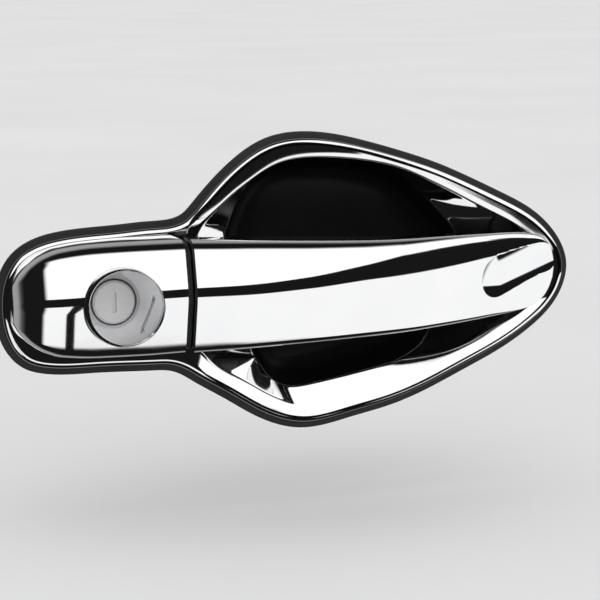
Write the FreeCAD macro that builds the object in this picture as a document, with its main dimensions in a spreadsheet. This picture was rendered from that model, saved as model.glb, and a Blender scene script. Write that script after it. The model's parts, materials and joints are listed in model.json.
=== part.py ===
import FreeCAD, Part
import math
import os

import Sketcher
from FreeCAD import Placement, Rotation, Vector

# Outside pull handle for a right-hand front car door, in millimetres.
# +X runs forward along the door, +Y inboard through the door skin, +Z up.
# The origin lies on the outer face of the door skin, in the middle of the handle.

doc = FreeCAD.newDocument("door_handle")
sheet = doc.addObject("Spreadsheet::Sheet", "Dims")

DIMENSIONS = {
    "gasket_thick": 1.5,
    "gasket_lip": 2.7,
    "gasket_land": 2.2,
    "flange_thick": 2.3,
    "rim_round": 1.7,
    "shell_wall": 2.2,
    "pocket_floor": 20.0,
    "split_x": -53.5,
    "grip_end_x": -50.8,
    "hinge_x": 108.0,
    "hinge_y": 12.0,
    "hinge_pin_d": 5.0,
    "arm_boss_r": 6.0,
    "arm_half_z": 5.5,
    "lug_gap": 0.6,
    "lug_height": 9.0,
    "run_gap": 0.05,
    "hook_x": -46.0,
    "hook_width": 6.0,
    "hook_reach": 40.0,
    "lip_thick": 4.0,
    "lip_length": 11.5,
    "lip_low": -4.5,
    "lip_high": 4.0,
    "crank_x": -56.0,
    "crank_y": 24.0,
    "crank_z": -22.0,
    "crank_arm": 21.5,
    "crank_swing": 32.0,
    "crank_thick": 5.0,
    "crank_pin_d": 6.0,
    "rod_arm": 16.0,
    "rod_d": 4.1,
    "weight_r": 5.5,
    "weight_reach": 11.2,
    "lock_x": -78.0,
    "lock_z": -2.0,
    "disc_r": 8.65,
    "disc_y": -11.0,
    "bezel_r": 15.4,
    "cap_slope": 0.2,
    "housing_r": 11.0,
    "housing_end": 30.0,
    "plug_r": 6.5,
    "tail_y": 34.0,
    "tail_reach": 15.0,
    "spine_y": 25.0,
    "spine_thick": 6.0,
    "spine_low": 8.0,
    "spine_high": 16.0,
    "fixing_x": -100.0,
    "fixing_pitch": 170.0,
    "fixing_z": -2.0,
    "floor_screw_z": 12.0,
    "insert_bore": 5.0,
    "insert_d": 9.0,
    "insert_length": 10.0,
    "screw_d": 4.0,
}

for row, (alias, value) in enumerate(DIMENSIONS.items(), start=1):
    sheet.set(f"A{row}", alias)
    sheet.set(f"B{row}", str(value))
    sheet.setAlias(f"B{row}", alias)
doc.recompute()


class Size:
    """A length that carries its value together with its spreadsheet formula."""

    def __init__(self, value, text):
        self.value = value
        self.text = text

    def __add__(self, other):
        return combine(self, other, "+", self.value + size(other).value)

    def __sub__(self, other):
        return combine(self, other, "-", self.value - size(other).value)

    def __mul__(self, other):
        return combine(self, other, "*", self.value * size(other).value)

    def __truediv__(self, other):
        return combine(self, other, "/", self.value / size(other).value)

    def __neg__(self):
        return size(0) - self

    def __radd__(self, other):
        return size(other) + self

    def __rsub__(self, other):
        return size(other) - self

    def __rmul__(self, other):
        return size(other) * self


def size(value):
    return value if isinstance(value, Size) else Size(float(value), f"({float(value)})")


def combine(left, right, sign, value):
    return Size(value, f"({left.text} {sign} {size(right).text})")


def dim(alias):
    return Size(float(sheet.get(alias)), f"Dims.{alias}")


def bind(item, path, length):
    length = size(length)
    if "Dims" in length.text:
        item.setExpression(path, length.text)
    elif path.startswith("Placement.Base."):
        item.setExpression(path, length.text)
    else:
        setattr(item, path, length.value)


def place(item, x=0, y=0, z=0, rotation=None):
    base = Vector(size(x).value, size(y).value, size(z).value)
    item.Placement = Placement(base, rotation or Rotation())
    for letter, length in zip("xyz", (x, y, z)):
        bind(item, f"Placement.Base.{letter}", length)
    return item


ALONG_X = Rotation(Vector(0, 1, 0), 90)
ALONG_Y = Rotation(Vector(1, 0, 0), -90)
ALONG_Z = Rotation()


# ---------------------------------------------------------------- building blocks


def box(name, low, high):
    item = doc.addObject("Part::Box", name)
    for side, (start, end) in zip(("Length", "Width", "Height"), zip(low, high)):
        bind(item, side, size(end) - start)
    return place(item, *low)


def rod(name, axis, radius, length, at):
    item = doc.addObject("Part::Cylinder", name)
    bind(item, "Radius", radius)
    bind(item, "Height", length)
    return place(item, *at, rotation=axis)


def cone(name, axis, start_radius, end_radius, length, at):
    item = doc.addObject("Part::Cone", name)
    bind(item, "Radius1", start_radius)
    bind(item, "Radius2", end_radius)
    bind(item, "Height", length)
    return place(item, *at, rotation=axis)


def fuse(name, *items):
    item = doc.addObject("Part::MultiFuse", name)
    item.Shapes = list(items)
    item.Refine = True
    return item


def cut(name, base, *tools):
    item = doc.addObject("Part::Cut", name)
    item.Base = base
    item.Tool = tools[0] if len(tools) == 1 else fuse(name + "_tools", *tools)
    return item


def common(name, *items):
    item = doc.addObject("Part::MultiCommon", name)
    item.Shapes = list(items)
    return item


def group(name, *items):
    item = doc.addObject("Part::Compound", name)
    item.Links = list(items)
    return item


def fixed(name, shape):
    item = doc.addObject("Part::Feature", name)
    item.Shape = shape
    return item


def origin_plane(body, role):
    for feature in body.Origin.OriginFeatures:
        if feature.Role == role:
            return feature
    raise ValueError(role)


def closed_sketch(body, name, role, points):
    """A closed outline of straight lines, each corner held by two driven distances."""
    item = body.newObject("Sketcher::SketchObject", name)
    item.AttachmentSupport = [(origin_plane(body, role), "")]
    item.MapMode = "FlatFace"
    corners = [(size(u), size(v)) for u, v in points]
    spots = [Vector(u.value, v.value, 0) for u, v in corners]
    count = len(spots)
    for index in range(count):
        item.addGeometry(Part.LineSegment(spots[index], spots[(index + 1) % count]))
    for index in range(count):
        item.addConstraint(Sketcher.Constraint("Coincident", index, 2, (index + 1) % count, 1))
    for index, corner in enumerate(corners):
        for kind, length in zip(("DistanceX", "DistanceY"), corner):
            driver = Sketcher.Constraint(kind, -1, 1, index, 1, length.value)
            number = item.addConstraint(driver)
            if "Dims" in length.text:
                item.setExpression(f"Constraints[{number}]", length.text)
    return item


def turned(name, profile, at, rotation=None):
    """A body of revolution: the profile is (radius, height) and height becomes +Y."""
    body = doc.addObject("PartDesign::Body", name)
    sketch = closed_sketch(body, name + "_profile", "XY_Plane", profile)
    spin = body.newObject("PartDesign::Revolution", name + "_turn")
    spin.Profile = sketch
    spin.ReferenceAxis = (sketch, ["V_Axis"])
    spin.Angle = 360.0
    body.Tip = spin
    return place(body, *at, rotation=rotation)


def plate(name, role, outline, thickness, at, symmetric=False):
    """A flat body padded from one closed outline."""
    body = doc.addObject("PartDesign::Body", name)
    sketch = closed_sketch(body, name + "_outline", role, outline)
    pad = body.newObject("PartDesign::Pad", name + "_pad")
    pad.Profile = sketch
    bind(pad, "Length", thickness)
    pad.SideType = "Symmetric" if symmetric else "One side"
    body.Tip = pad
    return place(body, *at)


def back_screw(name, thread, length, head, head_height, at):
    """A pan head screw driven from inside the door, its shank pointing outboard."""
    x, y, z = at
    top = rod(name + "_head", ALONG_Y, head, head_height, at)
    shank = rod(name + "_shank", ALONG_Y, thread, length, (x, size(y) - length, z))
    solid = fuse(name + "_blank", top, shank)
    low = (size(x) - head, size(y) + head_height - 0.9, size(z) - 0.5)
    high = (size(x) + head, size(y) + head_height, size(z) + 0.5)
    return cut(name, solid, box(name + "_slot", low, high))


def coil(name, radius, wire, pitch, turns, at, rotation):
    """A closed-wound wire coil about its own Z axis."""
    path = Part.makeHelix(pitch, pitch * turns, radius)
    start = Vector(radius, 0, 0)
    ring = Part.Wire([Part.makeCircle(wire / 2, start, Vector(0, 1, pitch / (6.3 * radius)))])
    item = fixed(name, Part.Wire(path).makePipeShell([ring], True, True))
    item.Placement = Placement(Vector(*at), rotation)
    return item


# ---------------------------------------------------------------- outline of the escutcheon

# Key points of the chrome outline seen square-on, (x, z), clockwise from the lock end.
OUTLINE = [
    (-121.0, -1.7), (-120.1, -11.3), (-117.2, -18.8), (-111.5, -24.9), (-103.5, -27.6),
    (-83.3, -28.7), (-60.0, -29.6), (-53.0, -30.2), (-47.5, -32.2), (-42.1, -35.6),
    (-28.7, -43.9), (-17.1, -51.3), (-5.6, -56.6), (2.8, -58.4), (11.1, -58.2),
    (24.2, -55.8), (41.2, -52.4), (57.8, -47.1), (74.4, -40.1), (91.2, -32.6),
    (106.4, -23.5), (115.6, -15.2), (120.3, -6.8), (121.3, 0.2), (118.8, 8.0),
    (113.5, 15.3), (105.3, 22.3), (93.7, 28.8), (79.0, 36.0), (63.9, 42.8),
    (49.2, 48.1), (32.7, 53.2), (19.3, 56.6), (7.6, 58.2), (-1.5, 58.1),
    (-10.7, 56.1), (-20.8, 50.6), (-30.9, 42.2), (-40.5, 32.2), (-45.0, 28.0),
    (-50.5, 25.9), (-60.0, 25.3), (-74.2, 24.6), (-97.7, 23.1), (-106.4, 21.0),
    (-114.3, 16.2), (-119.3, 8.0),
]

# Stations round the finger dish, clockwise from the upper lock-side corner:
# crest (x, z) | fold of the rim band (x, y, z) | mouth of the pocket (x, y, z).
DISH = [
    ((-43.5, 27.0), (-39.5, -3.4, 25.0), (-26.0, 6.0, 20.8)),
    ((-37.5, 33.2), (-33.3, -3.5, 31.0), (-23.2, 6.0, 28.0)),
    ((-29.5, 41.0), (-26.0, -3.5, 37.0), (-19.8, 6.0, 34.6)),
    ((-20.0, 48.8), (-17.8, -3.5, 42.6), (-14.8, 6.0, 41.0)),
    ((-10.2, 54.1), (-9.0, -3.5, 47.6), (-7.0, 6.0, 46.2)),
    ((-1.0, 56.2), (-0.5, -3.5, 49.9), (0.8, 6.0, 48.3)),
    ((12.0, 55.6), (12.0, -3.5, 50.2), (12.0, 6.0, 48.5)),
    ((30.0, 52.0), (29.0, -3.5, 48.4), (29.5, 6.0, 46.8)),
    ((47.5, 46.6), (46.0, -3.5, 44.4), (45.5, 6.0, 43.0)),
    ((62.0, 41.2), (59.5, -3.5, 38.6), (55.0, 6.0, 37.4)),
    ((78.0, 34.0), (74.0, -3.5, 31.6), (62.5, 6.5, 30.0)),
    ((92.4, 27.0), (87.0, -3.5, 24.9), (69.3, 7.0, 23.0)),
    ((103.6, 20.8), (98.5, -3.5, 18.6), (75.0, 7.5, 16.0)),
    ((112.0, 13.6), (106.5, -3.4, 11.6), (79.0, 8.5, 8.0)),
    ((118.0, 5.0), (111.6, -3.1, 3.6), (80.6, 9.0, -0.5)),
    ((118.4, -5.0), (112.0, -2.8, -5.6), (78.6, 9.0, -9.0)),
    ((113.6, -14.2), (107.5, -2.5, -14.6), (74.0, 8.5, -17.0)),
    ((104.8, -21.8), (98.5, -2.2, -22.2), (67.0, 7.0, -21.0)),
    ((90.4, -30.4), (83.5, -2.4, -30.1), (61.0, 4.6, -27.6)),
    ((73.6, -37.9), (67.0, -2.6, -36.7), (54.5, 2.4, -32.6)),
    ((57.0, -45.0), (51.5, -2.7, -42.4), (45.5, 1.2, -36.4)),
    ((40.6, -50.2), (37.0, -2.8, -47.2), (34.0, 1.0, -38.9)),
    ((24.0, -53.7), (22.5, -2.8, -50.8), (20.6, 1.0, -41.2)),
    ((11.0, -56.0), (10.5, -2.8, -52.9), (8.4, 1.0, -43.0)),
    ((2.0, -56.2), (2.8, -2.8, -52.7), (0.2, 1.2, -43.6)),
    ((-5.8, -54.2), (-3.4, -2.8, -50.4), (-5.2, 3.0, -42.4)),
    ((-15.8, -49.6), (-12.4, -2.6, -45.8), (-9.6, 5.4, -38.4)),
    ((-27.2, -42.4), (-23.8, -2.4, -38.6), (-12.9, 8.0, -32.4)),
    ((-38.8, -34.9), (-35.6, -2.2, -31.0), (-16.4, 7.5, -25.2)),
    ((-45.0, -27.5), (-42.6, -2.2, -22.6), (-19.4, 7.0, -16.0)),
    ((-47.4, -14.0), (-45.4, -2.4, -10.8), (-24.6, 6.5, -5.6)),
    ((-47.6, 0.0), (-45.8, -2.8, 2.4), (-26.4, 6.0, 4.4)),
    ((-46.6, 15.0), (-44.4, -3.2, 14.8), (-27.0, 6.0, 13.0)),
]
DISH_MIDDLE = Vector(27.0, 0.0, 1.0)
FLOOR_SCALE = 0.90


def shifted_outline(points, distance):
    """The outline moved outward by a distance, square to the line through its neighbours."""
    count = len(points)
    moved = []
    for index in range(count):
        before = points[index - 1]
        after = points[(index + 1) % count]
        along = (after[0] - before[0], after[1] - before[1])
        length = math.hypot(*along)
        x = points[index][0] + distance * along[1] / length
        z = points[index][1] - distance * along[0] / length
        moved.append((x, z))
    return moved


def smooth_loop(points, knots=None):
    curve = Part.BSplineCurve()
    if knots is None:
        curve.interpolate(Points=points, PeriodicFlag=True)
    else:
        curve.interpolate(Points=points, PeriodicFlag=True, Parameters=knots)
    return Part.Wire([curve.toShape()])


def level_loop(points, y):
    return smooth_loop([Vector(x, y, z) for x, z in points])


def chord_knots(points):
    knots = [0.0]
    for index, point in enumerate(points):
        following = points[(index + 1) % len(points)]
        knots.append(knots[-1] + point.distanceToPoint(following))
    return knots


def away(point, distance):
    """A point moved away from the middle of the dish, keeping its depth."""
    across = Vector(point.x - DISH_MIDDLE.x, 0, point.z - DISH_MIDDLE.z)
    return point + across.normalize() * distance


def turned_clockwise(points):
    """True when the outward side of the outline is on the expected hand."""
    area = 0.0
    for index, point in enumerate(points):
        after = points[(index + 1) % len(points)]
        area += point[0] * after[1] - after[0] * point[1]
    return area < 0


def widened(points, distance):
    return shifted_outline(points, -distance if turned_clockwise(points) else distance)


def flange_shape():
    back = -dim("gasket_thick").value
    front = back - dim("flange_thick").value
    inset = dim("rim_round").value
    rings = [
        level_loop(OUTLINE, back),
        level_loop(OUTLINE, back - 1.1),
        level_loop(widened(OUTLINE, -0.35 * inset), front + 0.4),
        level_loop(widened(OUTLINE, -inset), front),
    ]
    return Part.makeLoft(rings, True, True)


def dish_rings():
    crest = [Vector(c[0], 0, c[1]) for c, _, _ in DISH]
    fold = [Vector(*f) for _, f, _ in DISH]
    mouth = [Vector(*m) for _, _, m in DISH]
    floor = [DISH_MIDDLE + (m - DISH_MIDDLE) * FLOOR_SCALE for m in mouth]
    return crest, fold, mouth, floor


def dish_hollow():
    crest, fold, mouth, floor = dish_rings()
    knots = chord_knots(crest)
    front = -dim("gasket_thick").value - dim("flange_thick").value
    depth = dim("pocket_floor").value
    rings = [
        smooth_loop([away(Vector(p.x, front - 3.0, p.z), 1.2) for p in crest], knots),
        smooth_loop([Vector(p.x, front - 0.02, p.z) for p in crest], knots),
        smooth_loop(fold, knots),
        smooth_loop(mouth, knots),
        smooth_loop([Vector(p.x, depth, p.z) for p in floor], knots),
    ]
    return Part.makeLoft(rings, True, True)


def dish_tub():
    crest, fold, mouth, floor = dish_rings()
    knots = chord_knots(crest)
    wall = dim("shell_wall").value
    back = -dim("gasket_thick").value
    depth = dim("pocket_floor").value + wall
    rings = [
        smooth_loop([away(Vector(p.x, back - 0.1, p.z), 1.2) for p in fold], knots),
        smooth_loop([away(Vector(p.x, p.y + 1.0, p.z), wall) for p in mouth], knots),
        smooth_loop([away(Vector(p.x, depth, p.z), wall) for p in floor], knots),
    ]
    return Part.makeLoft(rings, True, True)


# ---------------------------------------------------------------- sections of grip and cap


def rounded_section(x, corners, radii):
    """A closed wire at one X: straight sides joined by arcs, eased where a side is short."""
    spots = [Vector(x, y, z) for y, z in corners]
    count = len(spots)
    halves = []
    for index in range(count):
        before = spots[index - 1] - spots[index]
        after = spots[(index + 1) % count] - spots[index]
        halves.append(before.getAngle(after) / 2)
    reaches = [radius / math.tan(half) for radius, half in zip(radii, halves)]
    ease = [1.0] * count
    for index in range(count):
        following = (index + 1) % count
        side = spots[index].distanceToPoint(spots[following])
        share = 0.92 * side / (reaches[index] + reaches[following])
        ease[index] = min(ease[index], share)
        ease[following] = min(ease[following], share)
    joins = []
    for index in range(count):
        here = spots[index]
        before = (spots[index - 1] - here).normalize()
        after = (spots[(index + 1) % count] - here).normalize()
        reach = reaches[index] * ease[index]
        radius = radii[index] * ease[index]
        middle = (before + after).normalize()
        centre = here + middle * (radius / math.sin(halves[index]))
        joins.append((here + before * reach, centre - middle * radius, here + after * reach))
    edges = []
    for index in range(count):
        start, top, end = joins[index]
        edges.append(Part.Arc(start, top, end).toShape())
        edges.append(Part.LineSegment(end, joins[(index + 1) % count][0]).toShape())
    return Part.Wire(edges)


# x, top z, bottom z, ridge z, ridge y, back y, top radius, ridge radius, bottom radius
GRIP_STATIONS = [
    (-50.8, 23.0, -21.4, 1.8, -34.0, -17.0, 6.5, 18.0, 3.0),
    (-30.0, 22.0, -21.3, 1.6, -35.0, -17.0, 6.5, 19.0, 3.0),
    (-5.0, 20.6, -21.0, 2.5, -35.0, -17.0, 6.5, 22.0, 3.0),
    (20.0, 19.2, -20.7, 4.4, -33.6, -17.0, 6.2, 28.0, 3.0),
    (40.0, 18.3, -20.4, 5.6, -31.0, -16.5, 5.4, 36.0, 2.8),
    (60.0, 17.8, -19.6, 7.2, -27.0, -14.6, 4.4, 42.0, 2.5),
    (77.0, 17.2, -18.8, 8.8, -22.6, -12.2, 3.4, 34.0, 2.2),
    (90.0, 16.6, -18.0, 9.8, -18.6, -10.2, 2.8, 24.0, 1.9),
    (100.0, 15.6, -17.0, 10.2, -15.4, -8.6, 2.4, 14.0, 1.6),
    (106.5, 14.0, -15.4, 9.6, -13.2, -7.0, 1.9, 8.0, 1.4),
    (110.5, 11.2, -12.6, 7.6, -11.6, -6.2, 1.5, 5.0, 1.2),
    (113.0, 7.0, -8.8, 4.2, -10.0, -5.8, 1.1, 3.0, 0.9),
    (114.3, 3.0, -5.0, 0.9, -8.6, -5.6, 0.7, 2.0, 0.7),
]
UPPER_LEAN = 0.20
LOWER_LEAN = 0.24
GRIP_BACK_RADIUS = 0.9
INNER_END_X = 100.01
# the rounded groove that scoops the front end of the grip: start, direction and radius
SCOOP_START = (94.0, -45.4, -7.0)
SCOOP_RUN = (18.0, 4.2, 5.0)
SCOOP_RADIUS = 31.4


def grip_section(station, inset=0.0, past_back=0.0):
    x, top, bottom, ridge, face, back, top_r, ridge_r, bottom_r = station
    high = top - inset
    low = bottom + inset
    skin = face + inset
    rear = back + past_back
    corners = [
        (rear, high),
        (skin + (high - ridge) * UPPER_LEAN, high),
        (skin, ridge),
        (skin + (ridge - low) * LOWER_LEAN, low),
        (rear, low),
    ]
    tighter = 0.35 * inset
    radii = [
        GRIP_BACK_RADIUS if top_r > 1.0 else 0.5,
        max(top_r - inset, top_r * 0.5),
        ridge_r * (1.0 - 0.1 * tighter),
        max(bottom_r - 0.8 * inset, 0.6),
        GRIP_BACK_RADIUS if top_r > 1.0 else 0.5,
    ]
    return rounded_section(x, corners, radii)


def blended(stations, steps):
    """The station table with extra rows, each column a smooth monotone curve of x."""
    xs = [row[0] for row in stations]
    columns = list(zip(*stations))[1:]
    slopes = [column_slopes(xs, column) for column in columns]
    rows = []
    for index in range(len(xs) - 1):
        span = xs[index + 1] - xs[index]
        for step in range(steps):
            part = step / steps
            row = [xs[index] + part * span]
            for column, slope in zip(columns, slopes):
                row.append(hermite(part, span, column[index:index + 2], slope[index:index + 2]))
            rows.append(tuple(row))
    rows.append(stations[-1])
    return rows


def column_slopes(xs, values):
    secants = []
    for index in range(len(xs) - 1):
        secants.append((values[index + 1] - values[index]) / (xs[index + 1] - xs[index]))
    slopes = [secants[0]]
    for left, right in zip(secants, secants[1:]):
        slopes.append(0.0 if left * right <= 0 else 2 * left * right / (left + right))
    slopes.append(secants[-1])
    return slopes


def hermite(part, span, values, slopes):
    square = part * part
    cube = square * part
    start = values[0] * (2 * cube - 3 * square + 1) + values[1] * (3 * square - 2 * cube)
    return start + span * (slopes[0] * (cube - 2 * square + part) + slopes[1] * (cube - square))


def scoop(extra=0.0):
    radius = SCOOP_RADIUS + extra
    ball = Part.makeSphere(radius, Vector(*SCOOP_START))
    groove = Part.makeCylinder(radius, 60.0, Vector(*SCOOP_START), Vector(*SCOOP_RUN))
    return ball.fuse(groove)


def grip_shapes():
    wall = dim("shell_wall").value
    stations = blended(GRIP_STATIONS, 3)
    outer = Part.makeLoft([grip_section(s) for s in stations], True, True)
    outer = outer.cut(scoop())
    inner_stations = [(dim("grip_end_x").value + wall,) + stations[0][1:]]
    inner_stations += [s for s in stations[1:] if s[0] <= INNER_END_X]
    sections = [grip_section(s, wall, 2.0) for s in inner_stations]
    inner = Part.makeLoft(sections, True, True)
    inner = inner.cut(scoop(wall))
    return outer, inner


# x, top z, bottom z, ridge z, ridge y, top radius, bottom radius
CAP_STATIONS = [
    (-53.5, 22.8, -21.6, 1.6, -30.6, 6.5, 3.0),
    (-70.0, 22.6, -22.4, 1.0, -27.4, 6.5, 3.4),
    (-88.0, 22.0, -22.6, 0.0, -23.8, 6.5, 3.8),
    (-100.0, 20.6, -21.8, -0.6, -21.2, 6.4, 4.2),
    (-107.0, 18.2, -19.6, -0.8, -19.0, 6.0, 4.4),
    (-112.0, 14.8, -16.4, -1.0, -16.2, 5.0, 4.0),
    (-115.6, 10.6, -12.6, -1.2, -12.0, 3.2, 2.8),
    (-117.6, 6.4, -8.8, -1.4, -8.0, 1.6, 1.6),
]
CAP_RIDGE_RADIUS = 16.0
CAP_INNER_END_X = -112.5


def cap_section(station, inset=0.0, past_back=0.0):
    x, top, bottom, ridge, face, top_r, bottom_r = station
    base = -dim("gasket_thick").value - dim("flange_thick").value + past_back
    high = top - inset
    low = bottom + inset
    skin = face + inset
    corners = [
        (base, high),
        (skin + (high - ridge) * UPPER_LEAN, high),
        (skin, ridge),
        (skin + (ridge - low) * LOWER_LEAN, low),
        (base, low),
    ]
    radii = [
        0.3,
        max(top_r - 0.5 * inset, 0.8),
        CAP_RIDGE_RADIUS * min(1.0, top_r / CAP_STATIONS[0][5]),
        max(bottom_r - 0.5 * inset, 0.8),
        0.3,
    ]
    return rounded_section(x, corners, radii)


def cap_shell():
    wall = dim("shell_wall").value
    outer = cap_fill()
    rows = blended(CAP_STATIONS, 2)
    stations = [(dim("split_x").value - wall,) + rows[0][1:]]
    stations += [row for row in rows[1:] if row[0] > CAP_INNER_END_X]
    inner = Part.makeLoft([cap_section(row, wall, 2.0) for row in stations], True, True)
    return outer.cut(inner)


# ---------------------------------------------------------------- shared positions

flange_front = -dim("gasket_thick") - dim("flange_thick")
hinge = (dim("hinge_x"), dim("hinge_y"))
lock_x = dim("lock_x")
lock_z = dim("lock_z")
crank_x = dim("crank_x")
crank_y = dim("crank_y")
crank_z = dim("crank_z")
spine_y = dim("spine_y")
spine_back = spine_y + dim("spine_thick")
fixing_xs = (dim("fixing_x"), dim("fixing_x") + dim("fixing_pitch"))
screw_xs = (-5.0, 35.0)
cap_screw_spots = ((-98.0, 11.0), (-95.0, -16.0), (-57.5, 1.0))


# ---------------------------------------------------------------- escutcheon and gasket


def build_bowl():
    shell = fixed("bowl_shell", flange_shape().fuse(dish_tub()).cut(dish_hollow()))
    tools = [
        box("hook_window", (-47.8, -6, -8), (-30, 14, 8)),
        box("hinge_window", (88, -6, -7.5), (113.5, 12, 7.5)),
        rod("lock_hole", ALONG_Y, dim("housing_r") + 1, 10, (lock_x, -6, lock_z)),
    ]
    for index, (x, z) in enumerate(cap_screw_spots):
        spot = (x, -6, z)
        tools.append(rod(f"cap_screw_hole_{index}", ALONG_Y, dim("screw_d") / 2 + 0.3, 10, spot))
    posts = []
    for index, x in enumerate(screw_xs):
        spot = (x, dim("pocket_floor") + 1, dim("floor_screw_z"))
        length = spine_y - dim("pocket_floor") - 1
        posts.append(rod(f"bowl_post_{index}", ALONG_Y, 5, length, spot))
        hole_at = (x, dim("pocket_floor") + 1.6, dim("floor_screw_z"))
        tools.append(rod(f"bowl_post_hole_{index}", ALONG_Y, dim("screw_d") / 2, 5, hole_at))
    return cut("bowl", fuse("bowl_with_posts", shell, *posts), *tools)


def build_gasket():
    thick = dim("gasket_thick").value
    outer = Part.Face(level_loop(widened(OUTLINE, dim("gasket_lip").value), -thick))
    inner = Part.Face(level_loop(widened(OUTLINE, -dim("gasket_land").value), -thick))
    ring = outer.cut(inner).extrude(Vector(0, thick, 0))
    return fixed("bowl_gasket", ring)


# ---------------------------------------------------------------- lock cap and its seal


def build_cap():
    shell = fixed("cap_shell", cap_shell())
    posts = []
    holes = [rod("cap_lock_hole", ALONG_Y, dim("bezel_r") + 0.05, 40, (lock_x, -40, lock_z))]
    for index, (x, z) in enumerate(cap_screw_spots):
        top = -14.0
        spot = (x, -31.0, z)
        posts.append(rod(f"cap_post_{index}", ALONG_Y, 4, flange_front + 31.0, spot))
        hole_at = (x, top, z)
        length = flange_front - top + 1
        holes.append(rod(f"cap_post_hole_{index}", ALONG_Y, dim("screw_d") / 2, length, hole_at))
    trimmed = common("cap_posts", fuse("cap_post_pair", *posts), fixed("cap_fill", cap_fill()))
    return cut("lock_cap", fuse("cap_with_posts", shell, trimmed), *holes)


def cap_fill():
    rows = blended(CAP_STATIONS, 2)
    return Part.makeLoft([cap_section(row) for row in rows], True, True)


def build_cap_seal():
    """Rubber lip on the end of the cap, facing the grip."""
    station = CAP_STATIONS[0]
    start = dim("split_x").value
    end = dim("grip_end_x").value - 0.4
    outer = cap_section(station, 1.2)
    inner = cap_section(station, 4.0)
    ring = Part.Face(outer).cut(Part.Face(inner)).extrude(Vector(end - start, 0, 0))
    return fixed("cap_seal", ring)


# ---------------------------------------------------------------- lock cylinder


def build_bezel():
    length = 25.0
    tube = rod("bezel_tube", ALONG_Y, dim("bezel_r"), length, (lock_x, -34, lock_z))
    funnel = cone("bezel_funnel", ALONG_Y, 16.4, 9.0, 22.5, (lock_x, -32.5, lock_z))
    bore = rod("bezel_bore", ALONG_Y, 9.0, 6, (lock_x, -12, lock_z))
    slope = math.degrees(math.atan(dim("cap_slope").value))
    slab = box("bezel_trim", (-110, -60, -30), (-40, -30, 30))
    slab.Placement = Placement(
        Vector(lock_x.value, -26.4, 0), Rotation(Vector(0, 0, 1), -slope)
    ).multiply(Placement(Vector(-35, -30, -30), Rotation()))
    for letter in "xyz":
        slab.setExpression(f"Placement.Base.{letter}", None)
    return cut("cylinder_bezel", tube, funnel, bore, slab)


def build_housing():
    outer = dim("housing_r")
    inner = dim("plug_r") + 0.08
    end = dim("housing_end")
    profile = [
        (inner, -7.8), (outer, -7.8), (outer, 8), (outer - 0.8, 8), (outer - 0.8, 10),
        (outer, 10), (outer, end), (inner, end),
    ]
    return turned("cylinder_housing", profile, (lock_x, 0, lock_z))


def build_cylinder_seal():
    outer = dim("housing_r")
    profile = [(9.4, -9.0), (outer, -9.0), (outer, -7.8), (9.4, -7.8)]
    return turned("cylinder_seal", profile, (lock_x, 0, lock_z))


WAFER_YS = (0.0, 3.0, 6.0, 9.0, 12.0)
KEY_HALF_X = 1.0
KEY_HALF_Z = 4.2


def build_plug():
    radius = dim("plug_r")
    tail = dim("tail_y")
    profile = [
        (0, -8.2), (radius, -8.2), (radius, tail - 0.4), (3.5, tail - 0.4),
        (3.5, tail + 4), (0, tail + 4),
    ]
    blank = turned("plug_blank", profile, (lock_x, 0, lock_z))
    keyway_low = (lock_x - KEY_HALF_X, -9, lock_z - KEY_HALF_Z)
    keyway_high = (lock_x + KEY_HALF_X, 22, lock_z + KEY_HALF_Z)
    tools = [box("plug_keyway", keyway_low, keyway_high)]
    flap_low = (lock_x - 2.6, -9, lock_z - 4.8)
    tools.append(box("plug_flap_room", flap_low, (lock_x + 1.6, -4.5, lock_z + 4.8)))
    for index, y in enumerate(WAFER_YS):
        low = (lock_x - 2.5, y, lock_z - 5.2)
        tools.append(box(f"plug_slot_{index}", low, (lock_x + 2.5, y + 1.1, lock_z + 5.2)))
    return cut("cylinder_plug", blank, *tools)


def build_wafers():
    wafers = []
    for index, y in enumerate(WAFER_YS):
        low = (lock_x - 2.4, y + 0.1, lock_z - 5.1)
        leaf = box(f"wafer_leaf_{index}", low, (lock_x + 2.4, y + 1.0, lock_z + 5.1))
        low = (lock_x - 0.9, y - 1, lock_z - 3.2)
        slot = box(f"wafer_slot_{index}", low, (lock_x + 0.9, y + 2, lock_z + 3.2))
        wafers.append(cut(f"wafer_{index}", leaf, slot))
    return group("lock_wafers", *wafers)


def build_plug_face():
    radius = dim("disc_r")
    front = dim("disc_y")
    profile = [
        (0, front), (radius - 0.8, front), (radius, front + 0.8), (radius, -8.3), (0, -8.3),
    ]
    disc = turned("face_disc", profile, (lock_x, 0, lock_z))
    slot = box(
        "face_slot",
        (lock_x - 0.9, -12, lock_z - 4.0),
        (lock_x + 0.9, -8, lock_z + 4.0),
    )
    room = box(
        "face_room",
        (lock_x - 2.6, front + 1.0, lock_z - 4.8),
        (lock_x + 1.6, -8, lock_z + 4.8),
    )
    return cut("plug_face", disc, slot, room)


FLAP_PIN_OFFSET = 2.0


def build_shutter():
    """The spring flap that closes the keyway, with a knuckle round its own pin."""
    pin_x = lock_x - FLAP_PIN_OFFSET
    pin_y = dim("disc_y") + 1.65
    knuckle = rod("flap_knuckle", ALONG_Z, 0.45, 9.0, (pin_x, pin_y, lock_z - 4.5))
    leaf_low = (pin_x, pin_y - 0.3, lock_z - 4.3)
    leaf = box("flap_leaf", leaf_low, (pin_x + 3.2, pin_y + 0.3, lock_z + 4.3))
    return fuse("keyhole_shutter", knuckle, leaf)


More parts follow.
